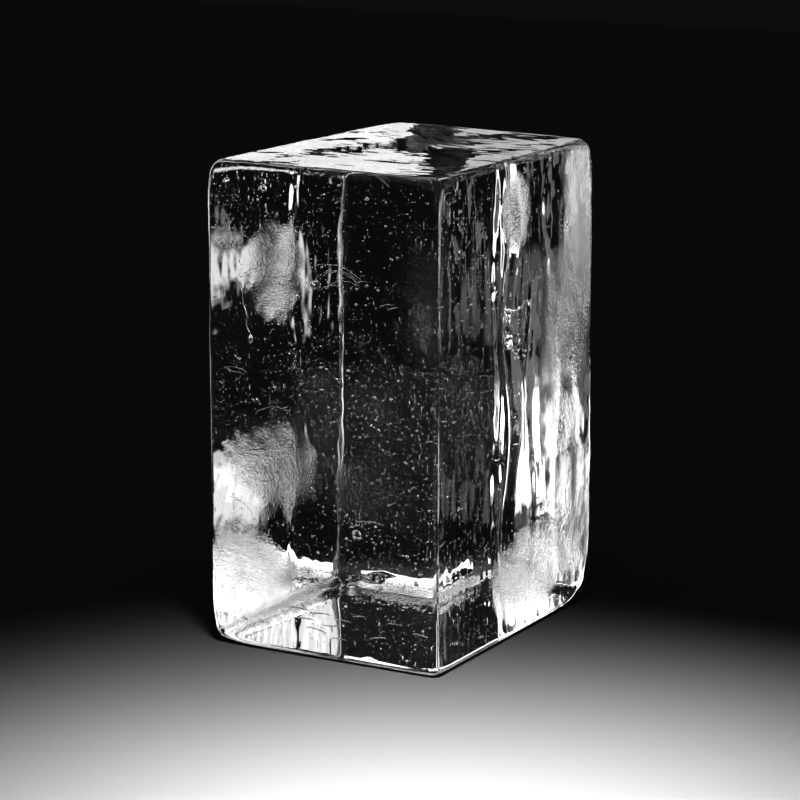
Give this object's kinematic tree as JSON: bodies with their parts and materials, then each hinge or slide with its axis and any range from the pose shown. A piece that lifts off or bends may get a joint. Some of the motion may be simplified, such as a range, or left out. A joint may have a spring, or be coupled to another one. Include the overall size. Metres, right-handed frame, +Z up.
{
  "type": "ice block",
  "caption": "Clear block of ice, a tall upright cuboid with melted, rounded edges and runnels down one side; it stands on its flat base to be carved, chipped or shown.",
  "frame": {"origin": "middle of the block's box at its flat base, on the surface that it stands on", "axes": "+Z up along the block's height; the narrow front face looks along -Y and the wide side with the runnels looks along +X"},
  "size_m": [0.1286, 0.1722, 0.241],
  "materials": {
    "clear_ice": "clear melting ice, IOR 1.31: wet and glossy, with frosted patches and trapped air bubbles"
  },
  "bodies": {
    "root": {"ice_block": "clear_ice"}
  },
  "joints": []
}
